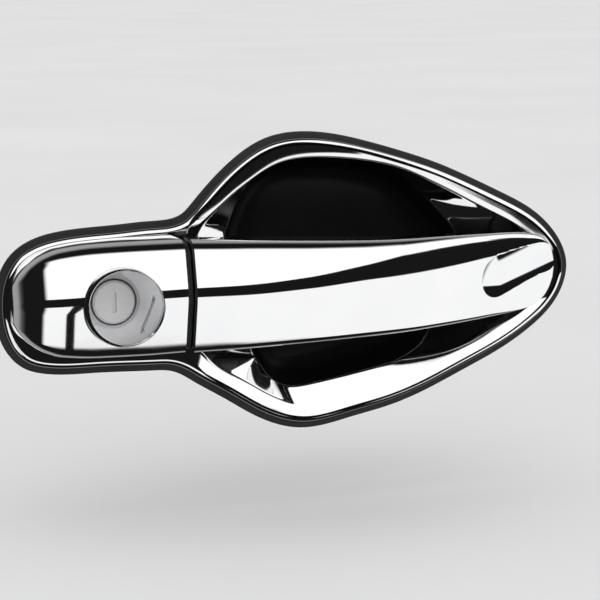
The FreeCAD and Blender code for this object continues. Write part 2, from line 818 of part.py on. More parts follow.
def build_tail_lever():
    y = dim("tail_y")
    reach = dim("tail_reach")
    hub = rod("tail_hub", ALONG_Y, 7, 2.2, (lock_x, y, lock_z))
    end = rod("tail_end", ALONG_Y, 5, 2.2, (lock_x, y, lock_z - reach))
    arm_low = (lock_x - 4, y, lock_z - reach)
    arm = box("tail_arm", arm_low, (lock_x + 4, y + 2.2, lock_z))
    hole = rod("tail_hub_hole", ALONG_Y, 3.5, 5, (lock_x, y - 1, lock_z))
    eye = rod("tail_eye", ALONG_Y, 3.0, 5, (lock_x, y - 1, lock_z - reach))
    return cut("tail_lever", fuse("tail_blank", hub, end, arm), hole, eye)


def build_tail_clip():
    y = dim("tail_y") + 2.2
    ring = rod("tail_clip_ring", ALONG_Y, 5.5, 0.8, (lock_x, y, lock_z))
    bore = rod("tail_clip_bore", ALONG_Y, 3.5, 2, (lock_x, y - 0.5, lock_z))
    mouth_low = (lock_x - 1.8, y - 0.5, lock_z)
    mouth = box("tail_clip_mouth", mouth_low, (lock_x + 1.8, y + 1.5, lock_z + 8))
    return cut("tail_clip", ring, bore, mouth)


def build_lock_rod_clip():
    y = dim("tail_y")
    z = lock_z - dim("tail_reach")
    neck = rod("lock_clip_neck", ALONG_Y, 3.0, 3.2, (lock_x, y - 0.6, z))
    head = rod("lock_clip_head", ALONG_Y, 4.6, 3.5, (lock_x, y + 2.2, z))
    barb = rod("lock_clip_barb", ALONG_Y, 3.7, 0.6, (lock_x, y - 0.6, z))
    bore = rod("lock_clip_bore", ALONG_Y, dim("rod_d") / 2, 10, (lock_x, y - 3, z))
    return cut("lock_rod_clip", fuse("lock_clip_blank", neck, head, barb), bore)


def build_plug_spring():
    at = (lock_x.value, dim("housing_end").value + 0.7, lock_z.value)
    return coil("plug_spring", 8.4, 1.0, 1.15, 1.9, at, ALONG_Y)


# ---------------------------------------------------------------- grip


def build_grip():
    outer, inner = grip_shapes()
    cover = fixed("grip_cover", outer.cut(inner))
    core = fixed("grip_core", outer.common(inner).cut(cover.Shape))
    return cover, build_grip_base(core)


def build_grip_base(core):
    boss_r = dim("arm_boss_r")
    half = dim("arm_half_z")
    hx, hy = hinge
    outline = [
        (84, -11.6), (92, -11.4), (96, -10.0), (100, -8.0),
        (hx + boss_r * 0.8, hy - boss_r * 0.6), (hx - boss_r * 0.7, hy + boss_r * 0.7),
        (91, -3), (85, -10.4),
    ]
    front_arm = plate("front_arm", "XY_Plane", outline, half * 2, (0, 0, 0), symmetric=True)
    boss = rod("front_boss", ALONG_Z, boss_r, half * 2, (hx, hy, -half))
    left = dim("hook_x")
    right = left + dim("hook_width")
    reach = dim("hook_reach")
    end = reach + dim("lip_thick")
    arm = box("hook_arm", (left, -19.5, -6), (right, end, 6))
    rib = box("hook_rib", (right, -19.5, -1.5), (right + 3.5, 22, 1.5))
    lip_start = (left - dim("lip_length"), reach, dim("lip_low"))
    lip = box("hook_lip", lip_start, (left + 2, end, dim("lip_high")))
    bore_r = dim("hinge_pin_d") / 2 + dim("run_gap")
    bore = rod("front_bore", ALONG_Z, bore_r, half * 2 + 2, (hx, hy, -half - 1))
    posts = []
    for x in GRIP_SCREW_XS:
        posts.append(rod(f"grip_hole_{x}", ALONG_Y, dim("screw_d") / 2, 6, (x, -21, 0)))
        posts.append(rod(f"grip_sink_{x}", ALONG_Y, 3.6, 6, (x, -19, 0)))
    blank = fuse("grip_base_blank", core, front_arm, boss, arm, rib, lip)
    return cut("grip_base", blank, bore, *posts)


GRIP_SCREW_XS = (-15, 45)


def build_grip_screws():
    screws = []
    for x in GRIP_SCREW_XS:
        spot = (x, -19, 0)
        screws.append(back_screw(f"grip_screw_{x}", dim("screw_d") / 2, 2, 3.2, 1.9, spot))
    return group("grip_screws", *screws)


def build_hook_pad():
    """Wear pad on the outboard face of the hook lip, where the crank tip bears."""
    left = dim("hook_x") - dim("lip_length")
    reach = dim("hook_reach")
    low = (left + 1, reach - 0.6, dim("lip_low") + 0.6)
    return box("hook_pad", low, (left + 8.5, reach, dim("lip_high") - 0.6))


# ---------------------------------------------------------------- bell crank


def polar(angle, distance):
    turn = math.radians(angle)
    return math.cos(turn) * distance, math.sin(turn) * distance


def lever_arm(name, angle, reach, half_width, thickness, x):
    """A straight arm in the plane of the crank; the angle is measured from +Y to +Z."""
    item = doc.addObject("Part::Box", name)
    bind(item, "Length", thickness)
    bind(item, "Width", reach)
    item.Height = half_width * 2
    turn = Rotation(Vector(1, 0, 0), angle)
    shift = turn.multVec(Vector(0, 0, -half_width))
    return place(item, x, crank_y + shift.y, crank_z + shift.z, rotation=turn)


WEIGHT_ANGLE = 135


def build_bell_crank():
    swing = dim("crank_swing").value
    thick = dim("crank_thick")
    reach = dim("crank_arm")
    rod_reach = dim("rod_arm")
    up = 90 - swing
    hub = rod("crank_hub", ALONG_X, 5.5, 10.5, (crank_x - 3.5, crank_y, crank_z))
    arm = lever_arm("crank_up_arm", up, reach, 3.0, thick, crank_x)
    y, z = polar(up, 1.0)
    tip_at = (crank_x, crank_y + reach * y, crank_z + reach * z)
    tip = rod("crank_tip", ALONG_X, 3.0, thick, tip_at)
    low_arm = lever_arm("crank_rod_arm", -swing, rod_reach, 3.4, thick, crank_x)
    y, z = polar(-swing, 1.0)
    eye_at = (crank_x, crank_y + rod_reach * y, crank_z + rod_reach * z)
    eye = rod("crank_eye_boss", ALONG_X, 5.0, thick, eye_at)
    weight_arm = lever_arm("crank_weight_arm", WEIGHT_ANGLE, dim("weight_reach"), 3.4, thick, crank_x)
    blank = fuse("crank_blank", hub, arm, tip, low_arm, eye, weight_arm)
    bore_r = dim("crank_pin_d") / 2 + dim("run_gap")
    bore = rod("crank_bore", ALONG_X, bore_r, 14, (crank_x - 5, crank_y, crank_z))
    hole = rod("crank_eye_hole", ALONG_X, 3.0, 8, (crank_x - 1, eye_at[1], eye_at[2]))
    y, z = polar(WEIGHT_ANGLE, 1.0)
    weight_reach = dim("weight_reach")
    seat_at = (crank_x - 1, crank_y + weight_reach * y, crank_z + weight_reach * z)
    seat = rod("crank_weight_seat", ALONG_X, 3.0, 8, seat_at)
    return cut("bell_crank", blank, bore, hole, seat)


def build_counterweight():
    y, z = polar(WEIGHT_ANGLE, 1.0)
    reach = dim("weight_reach")
    thick = dim("crank_thick")
    at_y = crank_y + reach * y
    at_z = crank_z + reach * z
    stub = rod("weight_stub", ALONG_X, 3.0, thick, (crank_x, at_y, at_z))
    left = rod("weight_left", ALONG_X, dim("weight_r"), 3.5, (crank_x - 3.5, at_y, at_z))
    right = rod("weight_right", ALONG_X, dim("weight_r"), 2.5, (crank_x + thick, at_y, at_z))
    return fuse("crank_weight", stub, left, right)


def build_crank_rod_clip():
    y, z = polar(-dim("crank_swing").value, 1.0)
    reach = dim("rod_arm")
    at_y = crank_y + reach * y
    at_z = crank_z + reach * z
    neck = rod("crank_clip_neck", ALONG_X, 3.0, 6.5, (crank_x - 1, at_y, at_z))
    head = rod("crank_clip_head", ALONG_X, 4.6, 3.5, (crank_x - 3.5, at_y, at_z))
    barb = rod("crank_clip_barb", ALONG_X, 3.6, 0.8, (crank_x + dim("crank_thick"), at_y, at_z))
    bore = rod("crank_clip_bore", ALONG_X, dim("rod_d") / 2, 16, (crank_x - 6, at_y, at_z))
    return cut("crank_rod_clip", fuse("crank_clip_blank", neck, head, barb), bore)


PIN_START = -70.0
PIN_LENGTH = 27.4


def build_crank_pin():
    radius = dim("crank_pin_d") / 2
    shaft = rod("crank_pin_shaft", ALONG_X, radius, PIN_LENGTH, (PIN_START, crank_y, crank_z))
    head = rod("crank_pin_head", ALONG_X, radius + 2, 1.5, (PIN_START - 1.5, crank_y, crank_z))
    groove_x = PIN_START + PIN_LENGTH - 1.8
    outer = rod("pin_groove_outer", ALONG_X, radius + 1, 0.8, (groove_x, crank_y, crank_z))
    inner = rod("pin_groove_inner", ALONG_X, radius - 0.5, 0.8, (groove_x, crank_y, crank_z))
    groove = cut("pin_groove", outer, inner)
    return cut("crank_pin", fuse("crank_pin_blank", shaft, head), groove)


def build_pin_clip():
    """Retaining ring sprung into the groove at the free end of the crank pin."""
    radius = dim("crank_pin_d") / 2
    x = PIN_START + PIN_LENGTH - 1.8
    ring = rod("pin_clip_ring", ALONG_X, radius + 2.2, 0.8, (x, crank_y, crank_z))
    bore = rod("pin_clip_bore", ALONG_X, radius - 0.5, 2, (x - 0.5, crank_y, crank_z))
    low = (x - 0.5, crank_y - 1.5, crank_z - 8)
    mouth = box("pin_clip_mouth", low, (x + 1.5, crank_y + 1.5, crank_z))
    return cut("pin_clip", ring, bore, mouth)


def build_crank_spring():
    x = crank_x.value + 7.8
    at = (x, crank_y.value, crank_z.value)
    return coil("crank_spring", 4.4, 1.0, 1.05, 1.9, at, ALONG_X)


# ---------------------------------------------------------------- carrier behind the skin


def pad_plate_shape(front, back):
    """The carrier's plate behind the lock end follows the outline of the escutcheon."""
    face = Part.Face(level_loop(widened(OUTLINE, -6.0), front))
    sheet_solid = face.extrude(Vector(0, back - front, 0))
    right_end = dim("split_x").value + 1.5
    return sheet_solid.common(Part.makeBox(80, 20, 120, Vector(right_end - 80, 0, -60)))


def build_carrier():
    front = 2.5
    plate_back = 6.5
    hx, hy = hinge
    half = dim("arm_half_z") + dim("lug_gap")
    lug_end = half + dim("lug_height")
    low = dim("spine_low")
    high = dim("spine_high")
    stop_y = dim("hook_reach") + dim("lip_thick") + 1.9
    rear_x, front_x = fixing_xs
    fixing_z = dim("fixing_z")
    solids = [
        fixed("pad_plate", pad_plate_shape(front, plate_back)),
        rod("lock_boss", ALONG_Y, 15, 24, (lock_x, front, lock_z)),
        box("spine", (-64, spine_y, low), (112, spine_back, high)),
        box("spine_wide", (-30, spine_y, -9), (112, spine_back, high)),
        box("mid_web", (-64, front, low), (-58, spine_back, high)),
        box("crank_lug", (-70, front, -29), (-61, spine_back, -12)),
        box("lug_top", (hx - 7.5, 8, half), (hx + 8, spine_back, lug_end)),
        box("lug_low", (hx - 7.5, 8, -lug_end), (hx + 8, spine_back, -half)),
        box("lug_web", (hx - 7.5, 21.5, -lug_end), (hx + 8, spine_back, lug_end)),
        box("spine_rib", (-49, spine_back, 11), (60, spine_back + 3, 13)),
        box("stop_arm", (-57, spine_back - 1, low), (-49, stop_y + 3, 14)),
        box("stop_plate", (-57, stop_y, -4), (-49, stop_y + 3, 12)),
        rod("fixing_boss_rear", ALONG_Y, 6.5, spine_back - front, (rear_x, front, fixing_z)),
        rod("fixing_boss_front", ALONG_Y, 6.5, 8, (front_x, spine_back - 7, fixing_z)),
    ]
    bolt_length = dim("insert_length")
    tools = [
        rod("lock_bore", ALONG_Y, dim("housing_r"), 40, (lock_x, -2, lock_z)),
        rod("pin_bore", ALONG_Z, dim("hinge_pin_d") / 2, 60, (hx, hy, -30)),
        rod("crank_pin_bore", ALONG_X, dim("crank_pin_d") / 2, 14, (-72, crank_y, crank_z)),
        rod("retainer_bore", ALONG_Z, 2.5, 14, (lock_x, 18, lock_z - 20)),
    ]
    for index, x in enumerate(fixing_xs):
        spot = (x, spine_back - bolt_length + index * 4, fixing_z)
        tools.append(rod(f"insert_bore_{index}", ALONG_Y, dim("insert_d") / 2, 20, spot))
    for index, x in enumerate(screw_xs):
        spot = (x, spine_y - 1, dim("floor_screw_z"))
        tools.append(rod(f"spine_hole_{index}", ALONG_Y, dim("screw_d") / 2 + 0.2, 12, spot))
        spot = (x, spine_back, dim("floor_screw_z"))
        tools.append(rod(f"spine_sink_{index}", ALONG_Y, 4.2, 12, spot))
    for index, (x, z) in enumerate(cap_screw_spots):
        tools.append(rod(f"plate_hole_{index}", ALONG_Y, dim("screw_d") / 2 + 0.2, 20, (x, 0, z)))
        tools.append(rod(f"plate_sink_{index}", ALONG_Y, 4.3, 12, (x, plate_back, z)))
    return cut("carrier", fuse("carrier_blank", *solids), *tools)


def build_inserts():
    inserts = []
    for index, x in enumerate(fixing_xs):
        length = dim("insert_length") - index * 4
        z = dim("fixing_z")
        start = spine_back - length
        sleeve = rod(f"insert_sleeve_{index}", ALONG_Y, dim("insert_d") / 2, length, (x, start, z))
        bore_r = dim("insert_bore") / 2
        bore = rod(f"insert_thread_{index}", ALONG_Y, bore_r, 20, (x, start - 1, z))
        inserts.append(cut(f"insert_{index}", sleeve, bore))
    return group("fixing_inserts", *inserts)


PIN_HEAD_HEIGHT = 1.6


def build_hinge_pin():
    """Pin pressed through both lugs, its head resting on the upper one."""
    hx, hy = hinge
    radius = dim("hinge_pin_d") / 2
    lug_end = dim("arm_half_z") + dim("lug_gap") + dim("lug_height")
    shank = lug_end * 2
    profile = [
        (0, 0), (radius, 0), (radius, shank), (radius + 1.6, shank),
        (radius + 1.6, shank + PIN_HEAD_HEIGHT), (0, shank + PIN_HEAD_HEIGHT),
    ]
    upright = Rotation(Vector(1, 0, 0), 90)
    return turned("hinge_pin", profile, (hx, hy, -lug_end), rotation=upright)


def build_carrier_screws():
    screws = []
    for index, x in enumerate(screw_xs):
        spot = (x, spine_back, dim("floor_screw_z"))
        length = spine_back - dim("pocket_floor") - 1.8
        thread = dim("screw_d") / 2 - 0.02
        screws.append(back_screw(f"carrier_screw_{index}", thread, length, 4.0, 2.4, spot))
    return group("carrier_screws", *screws)


def build_cap_screws():
    screws = []
    for index, (x, z) in enumerate(cap_screw_spots):
        spot = (x, 6.5, z)
        thread = dim("screw_d") / 2 - 0.02
        length = 18.0
        screws.append(back_screw(f"cap_screw_{index}", thread, length, 4.0, 2.4, spot))
    return group("cap_screws", *screws)


def build_retainer():
    """Grub screw that locks the cylinder housing in the carrier."""
    tip = lock_z - dim("housing_r") - 0.05
    low = lock_z - 16.5
    shank = rod("retainer_shank", ALONG_Z, 2.5, tip - low, (lock_x, 18, low))
    slot = box("retainer_slot", (lock_x - 3, 17.5, low - 1), (lock_x + 3, 18.5, low + 1))
    return cut("cylinder_retainer", shank, slot)


def build_rest_bumper():
    """Rubber block that stops the hook lip when the grip springs home."""
    y = dim("hook_reach") + dim("lip_thick") + 0.3
    return box("rest_bumper", (-56, y, -3), (-50, y + 1.6, 3))


build_bowl()
build_gasket()
build_cap()
build_cap_seal()
build_bezel()
build_housing()
build_cylinder_seal()
build_plug()
build_wafers()
build_plug_face()
build_shutter()
build_tail_lever()
build_tail_clip()
build_lock_rod_clip()
build_plug_spring()
build_grip()
build_grip_screws()
build_hook_pad()
build_bell_crank()
build_counterweight()
build_crank_rod_clip()
build_crank_pin()
build_pin_clip()
build_crank_spring()
build_carrier()
build_inserts()
build_hinge_pin()
build_carrier_screws()
build_cap_screws()
build_retainer()
build_rest_bumper()

NODES = [
    "bowl", "bowl_gasket", "lock_cap", "cap_seal", "cylinder_bezel", "cylinder_housing",
    "cylinder_seal", "cylinder_plug", "lock_wafers", "plug_face", "keyhole_shutter",
    "tail_lever", "tail_clip", "lock_rod_clip", "plug_spring", "grip_cover", "grip_base",
    "grip_screws", "hook_pad", "bell_crank", "crank_weight", "crank_rod_clip", "crank_pin",
    "pin_clip", "crank_spring", "carrier", "fixing_inserts", "hinge_pin", "carrier_screws",
    "cap_screws", "cylinder_retainer", "rest_bumper",
]

doc.recompute()
os.makedirs("parts", exist_ok=True)
problems = []
for item in doc.Objects:
    if "Invalid" in item.State or "Error" in item.State:
        problems.append(f"{item.Name}: {item.State}")
for name in NODES:
    item = doc.getObject(name)
    shape = item.Shape
    if shape.isNull() or not shape.isValid():
        problems.append(f"{name}: shape is null or not valid")
        continue
    item.Label = name
    shape.exportStep(f"parts/{name}.step")
if problems:
    raise RuntimeError("; ".join(problems))
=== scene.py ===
import json
import math

import bmesh
import bpy
import numpy as np
from mathutils import Matrix, Vector
from mathutils.geometry import tessellate_polygon


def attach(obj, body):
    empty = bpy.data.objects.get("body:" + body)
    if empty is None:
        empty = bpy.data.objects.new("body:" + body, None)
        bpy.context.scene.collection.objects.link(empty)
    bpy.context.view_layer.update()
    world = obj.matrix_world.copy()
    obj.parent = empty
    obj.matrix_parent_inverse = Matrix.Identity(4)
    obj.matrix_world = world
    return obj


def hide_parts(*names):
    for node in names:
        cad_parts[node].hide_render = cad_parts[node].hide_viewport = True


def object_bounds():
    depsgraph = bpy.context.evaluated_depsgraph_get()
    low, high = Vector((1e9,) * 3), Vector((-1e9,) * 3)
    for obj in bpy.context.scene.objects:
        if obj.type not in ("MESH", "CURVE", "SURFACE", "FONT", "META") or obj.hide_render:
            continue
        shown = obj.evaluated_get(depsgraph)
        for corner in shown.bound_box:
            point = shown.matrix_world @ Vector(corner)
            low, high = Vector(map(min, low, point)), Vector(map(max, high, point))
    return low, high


# Looks of an outside car door handle. Helper tables are in millimetres and turned into
# metres by MM; +X runs forward along the door, +Y inboard, +Z up.

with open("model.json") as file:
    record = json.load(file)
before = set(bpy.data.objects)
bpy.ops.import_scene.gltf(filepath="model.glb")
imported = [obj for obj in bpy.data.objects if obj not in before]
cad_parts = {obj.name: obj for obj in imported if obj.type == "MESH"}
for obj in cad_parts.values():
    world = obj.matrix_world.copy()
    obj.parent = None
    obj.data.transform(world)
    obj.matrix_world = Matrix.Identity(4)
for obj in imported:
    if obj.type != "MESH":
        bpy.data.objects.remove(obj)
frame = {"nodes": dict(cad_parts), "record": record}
nodes = frame["nodes"]
cad_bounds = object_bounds()

MM = 0.001
SMOOTH_ANGLE = math.radians(32)

# ---------------------------------------------------------------- dimensions of the shells

GASKET_FRONT_Y = -1.5
PAD_Y = -3.8
WALL = 2.2
POCKET_FLOOR_Y = 20.0
DISH_MIDDLE = np.array([27.0, 0.0, 1.0])
FLOOR_SCALE = 0.90
LOCK_X = -78.0
LOCK_Z = -2.0
BEZEL_R = 15.4
BEZEL_SIDES = 256
BEZEL_REAR_Y = -9.0
GASKET_OUT = 2.7
GASKET_IN = 2.2
GASKET_REAR_Y = -0.02
GRIP_INNER_END_X = 100.0
CAP_INNER_END_X = -112.0

OUTLINE = [
    (-121.0, -1.7), (-120.1, -11.3), (-117.2, -18.8), (-111.5, -24.9), (-103.5, -27.6),
    (-83.3, -28.7), (-60.0, -29.6), (-53.0, -30.2), (-47.5, -32.2), (-42.1, -35.6),
    (-28.7, -43.9), (-17.1, -51.3), (-5.6, -56.6), (2.8, -58.4), (11.1, -58.2),
    (24.2, -55.8), (41.2, -52.4), (57.8, -47.1), (74.4, -40.1), (91.2, -32.6),
    (106.4, -23.5), (115.6, -15.2), (120.3, -6.8), (121.3, 0.2), (118.8, 8.0),
    (113.5, 15.3), (105.3, 22.3), (93.7, 28.8), (79.0, 36.0), (63.9, 42.8),
    (49.2, 48.1), (32.7, 53.2), (19.3, 56.6), (7.6, 58.2), (-1.5, 58.1),
    (-10.7, 56.1), (-20.8, 50.6), (-30.9, 42.2), (-40.5, 32.2), (-45.0, 28.0),
    (-50.5, 25.9), (-60.0, 25.3), (-74.2, 24.6), (-97.7, 23.1), (-106.4, 21.0),
    (-114.3, 16.2), (-119.3, 8.0),
]

# crest (x, z) | fold of the rim band (x, y, z) | mouth of the pocket (x, y, z)
DISH = [
    ((-43.5, 27.0), (-39.5, -3.4, 25.0), (-26.0, 6.0, 20.8)),
    ((-37.5, 33.2), (-33.3, -3.5, 31.0), (-23.2, 6.0, 28.0)),
    ((-29.5, 41.0), (-26.0, -3.5, 37.0), (-19.8, 6.0, 34.6)),
    ((-20.0, 48.8), (-17.8, -3.5, 42.6), (-14.8, 6.0, 41.0)),
    ((-10.2, 54.1), (-9.0, -3.5, 47.6), (-7.0, 6.0, 46.2)),
    ((-1.0, 56.2), (-0.5, -3.5, 49.9), (0.8, 6.0, 48.3)),
    ((12.0, 55.6), (12.0, -3.5, 50.2), (12.0, 6.0, 48.5)),
    ((30.0, 52.0), (29.0, -3.5, 48.4), (29.5, 6.0, 46.8)),
    ((47.5, 46.6), (46.0, -3.5, 44.4), (45.5, 6.0, 43.0)),
    ((62.0, 41.2), (59.5, -3.5, 38.6), (55.0, 6.0, 37.4)),
    ((78.0, 34.0), (74.0, -3.5, 31.6), (62.5, 6.5, 30.0)),
    ((92.4, 27.0), (87.0, -3.5, 24.9), (69.3, 7.0, 23.0)),
    ((103.6, 20.8), (98.5, -3.5, 18.6), (75.0, 7.5, 16.0)),
    ((112.0, 13.6), (106.5, -3.4, 11.6), (79.0, 8.5, 8.0)),
    ((118.0, 5.0), (111.6, -3.1, 3.6), (80.6, 9.0, -0.5)),
    ((118.4, -5.0), (112.0, -2.8, -5.6), (78.6, 9.0, -9.0)),
    ((113.6, -14.2), (107.5, -2.5, -14.6), (74.0, 8.5, -17.0)),
    ((104.8, -21.8), (98.5, -2.2, -22.2), (67.0, 7.0, -21.0)),
    ((90.4, -30.4), (83.5, -2.4, -30.1), (61.0, 4.6, -27.6)),
    ((73.6, -37.9), (67.0, -2.6, -36.7), (54.5, 2.4, -32.6)),
    ((57.0, -45.0), (51.5, -2.7, -42.4), (45.5, 1.2, -36.4)),
    ((40.6, -50.2), (37.0, -2.8, -47.2), (34.0, 1.0, -38.9)),
    ((24.0, -53.7), (22.5, -2.8, -50.8), (20.6, 1.0, -41.2)),
    ((11.0, -56.0), (10.5, -2.8, -52.9), (8.4, 1.0, -43.0)),
    ((2.0, -56.2), (2.8, -2.8, -52.7), (0.2, 1.2, -43.6)),
    ((-5.8, -54.2), (-3.4, -2.8, -50.4), (-5.2, 3.0, -42.4)),
    ((-15.8, -49.6), (-12.4, -2.6, -45.8), (-9.6, 5.4, -38.4)),
    ((-27.2, -42.4), (-23.8, -2.4, -38.6), (-12.9, 8.0, -32.4)),
    ((-38.8, -34.9), (-35.6, -2.2, -31.0), (-16.4, 7.5, -25.2)),
    ((-45.0, -27.5), (-42.6, -2.2, -22.6), (-19.4, 7.0, -16.0)),
    ((-47.4, -14.0), (-45.4, -2.4, -10.8), (-24.6, 6.5, -5.6)),
    ((-47.6, 0.0), (-45.8, -2.8, 2.4), (-26.4, 6.0, 4.4)),
    ((-46.6, 15.0), (-44.4, -3.2, 14.8), (-27.0, 6.0, 13.0)),
]

# x, top z, bottom z, ridge z, ridge y, back y, top radius, ridge radius, bottom radius
GRIP_STATIONS = [
    (-50.8, 23.0, -21.4, 1.8, -34.0, -17.0, 6.5, 18.0, 3.0),
    (-30.0, 22.0, -21.3, 1.6, -35.0, -17.0, 6.5, 19.0, 3.0),
    (-5.0, 20.6, -21.0, 2.5, -35.0, -17.0, 6.5, 22.0, 3.0),
    (20.0, 19.2, -20.7, 4.4, -33.6, -17.0, 6.2, 28.0, 3.0),
    (40.0, 18.3, -20.4, 5.6, -31.0, -16.5, 5.4, 36.0, 2.8),
    (60.0, 17.8, -19.6, 7.2, -27.0, -14.6, 4.4, 42.0, 2.5),
    (77.0, 17.2, -18.8, 8.8, -22.6, -12.2, 3.4, 34.0, 2.2),
    (90.0, 16.6, -18.0, 9.8, -18.6, -10.2, 2.8, 24.0, 1.9),
    (100.0, 15.6, -17.0, 10.2, -15.4, -8.6, 2.4, 14.0, 1.6),
    (106.5, 14.0, -15.4, 9.6, -13.2, -7.0, 1.9, 8.0, 1.4),
    (110.5, 11.2, -12.6, 7.6, -11.6, -6.2, 1.5, 5.0, 1.2),
    (113.0, 7.0, -8.8, 4.2, -10.0, -5.8, 1.1, 3.0, 0.9),
    (114.3, 3.0, -5.0, 0.9, -8.6, -5.6, 0.7, 2.0, 0.7),
]

# x, top z, bottom z, ridge z, ridge y, top radius, bottom radius
CAP_STATIONS = [
    (-53.5, 22.8, -21.6, 1.6, -30.6, 6.5, 3.0),
    (-70.0, 22.6, -22.4, 1.0, -27.4, 6.5, 3.4),
    (-88.0, 22.0, -22.6, 0.0, -23.8, 6.5, 3.8),
    (-100.0, 20.6, -21.8, -0.6, -21.2, 6.4, 4.2),
    (-107.0, 18.2, -19.6, -0.8, -19.0, 6.0, 4.4),
    (-112.0, 14.8, -16.4, -1.0, -16.2, 5.0, 4.0),
    (-115.6, 10.6, -12.6, -1.2, -12.0, 3.2, 2.8),
    (-117.6, 6.4, -8.8, -1.4, -8.0, 1.6, 1.6),
]
UPPER_LEAN = 0.20
LOWER_LEAN = 0.24
CAP_RIDGE_RADIUS = 16.0
SCOOP_START = np.array([94.0, -45.4, -7.0])
SCOOP_RUN = np.array([18.0, 4.2, 5.0])
SCOOP_RADIUS = 31.4

# ---------------------------------------------------------------- curves


def periodic_slopes(knots, values):
    """Slopes of the smooth closed cubic through the values (C2 all the way round)."""
    count = len(values)
    gaps = np.diff(knots)
    matrix = np.zeros((count, count))
    right = np.zeros((count, values.shape[1]))
    for index in range(count):
        before = gaps[index - 1]
        after = gaps[index]
        previous = (index - 1) % count
        following = (index + 1) % count
        matrix[index, previous] += 1 / before
        matrix[index, index] += 2 / before + 2 / after
        matrix[index, following] += 1 / after
        rise_before = (values[index] - values[previous]) / before**2
        rise_after = (values[following] - values[index]) / after**2
        right[index] = 3 * (rise_before + rise_after)
    return np.linalg.solve(matrix, right)


def closed_curve(points, knots, places):
    """Points of the closed smooth curve at the given places along its knots."""
    values = np.asarray(points, float)
    slopes = periodic_slopes(knots, values)
    spans = np.clip(np.searchsorted(knots, places, side="right") - 1, 0, len(values) - 1)
    after = (spans + 1) % len(values)
    gaps = np.diff(knots)[spans][:, None]
    part = ((places - knots[spans]) / np.diff(knots)[spans])[:, None]
    square, cube = part**2, part**3
    start = values[spans] * (2 * cube - 3 * square + 1) + values[after] * (3 * square - 2 * cube)
    lean = slopes[spans] * (cube - 2 * square + part) + slopes[after] * (cube - square)
    return start + gaps * lean


def chord_knots(points):
    """Knots of a closed loop: the distance run along its points."""
    values = np.asarray(points, float)
    steps = np.linalg.norm(np.roll(values, -1, axis=0) - values, axis=1)
    return np.concatenate([[0.0], np.cumsum(steps)])


def column_slopes(xs, column):
    """Slopes that keep a column rising or falling where its table does."""
    secants = np.diff(column) / np.diff(xs)
    slopes = [secants[0]]
    for left, right in zip(secants, secants[1:]):
        slopes.append(0.0 if left * right <= 0 else 2 * left * right / (left + right))
    slopes.append(secants[-1])
    return np.array(slopes)


def station_at(table, x):
    """One row of a station table at any x, each column a smooth curve of x."""
    rows = np.asarray(table, float)
    order = np.argsort(rows[:, 0])
    rows = rows[order]
    xs = rows[:, 0]
    index = int(np.clip(np.searchsorted(xs, x, side="right") - 1, 0, len(xs) - 2))
    span = xs[index + 1] - xs[index]
    part = (x - xs[index]) / span
    square, cube = part**2, part**3
    result = []
    for number in range(1, rows.shape[1]):
        column = rows[:, number]
        slopes = column_slopes(xs, column)
        value = column[index] * (2 * cube - 3 * square + 1)
        value += column[index + 1] * (3 * square - 2 * cube)
        value += span * slopes[index] * (cube - 2 * square + part)
        value += span * slopes[index + 1] * (cube - square)
        result.append(value)
    return result


# ---------------------------------------------------------------- mesh building


def new_piece(name, points, faces, finishes=(), second_material_faces=range(0)):
    """A mesh object from points in millimetres; faces in second_material_faces take the second material."""
    mesh = bpy.data.meshes.new(name)
    mesh.from_pydata((np.asarray(points) * MM).tolist(), [], faces)
    for finish in finishes:
        mesh.materials.append(finish)
    for index in second_material_faces:
        mesh.polygons[index].material_index = 1
    piece = bpy.data.objects.new(name, mesh)
    bpy.context.scene.collection.objects.link(piece)
    outward(piece)
    return piece


def outward(piece):
    """Merges doubled points and turns every face outward."""
    shape = bmesh.new()
    shape.from_mesh(piece.data)
    bmesh.ops.remove_doubles(shape, verts=shape.verts, dist=1e-7)
    bmesh.ops.recalc_face_normals(shape, faces=shape.faces)
    shape.to_mesh(piece.data)
    shape.free()


def smoothed(piece, angle=SMOOTH_ANGLE):
    """Smooth shading, with real edges kept sharp."""
    piece.data.shade_smooth()
    piece.data.set_sharp_from_angle(angle=angle)


def band_faces(count, rings, first=0):
    """Quads that join consecutive closed rings of equal point count."""
    faces = []
    for ring in range(rings - 1):
        low = first + ring * count
        for index in range(count):
            after = (index + 1) % count
            faces.append((low + index, low + after, low + count + after, low + count + index))
    return faces


def loop_faces(count, rings):
    """Quads that join closed rings, with the last ring joined back to the first."""
    faces = band_faces(count, rings)
    last = (rings - 1) * count
    for index in range(count):
        after = (index + 1) % count
        faces.append((last + index, last + after, after, index))
    return faces


def tube_solid(name, rings):
    """A closed solid through equal rings, with a flat cap at each end."""
    count = len(rings[0])
    points = np.concatenate(rings)
    faces = band_faces(count, len(rings))
    faces.append(tuple(range(count)))
    last = (len(rings) - 1) * count
    faces.append(tuple(last + index for index in range(count)))
    return new_piece(name, points, faces)


def carved(piece, tools):
    """Cuts each tool out of the piece; the tools are used up."""
    for tool in tools:
        cutter = piece.modifiers.new("cut", "BOOLEAN")
        cutter.operation = "DIFFERENCE"
        cutter.solver = "EXACT"
        cutter.object = tool
        bpy.context.view_layer.update()
        view = bpy.context.evaluated_depsgraph_get()
        result = bpy.data.meshes.new_from_object(piece.evaluated_get(view))
        piece.modifiers.clear()
        old = piece.data
        piece.data = result
        bpy.data.meshes.remove(old)
        bpy.data.objects.remove(tool)


def block(low, high):
    """A box-shaped cutting tool between two corners."""
    xs, ys, zs = zip(low, high)
    points = [(x, y, z) for x in xs for y in ys for z in zs]
    faces = [(0, 1, 3, 2), (4, 6, 7, 5), (0, 4, 5, 1), (2, 3, 7, 6), (0, 2, 6, 4), (1, 5, 7, 3)]
    return new_piece("tool", points, faces)


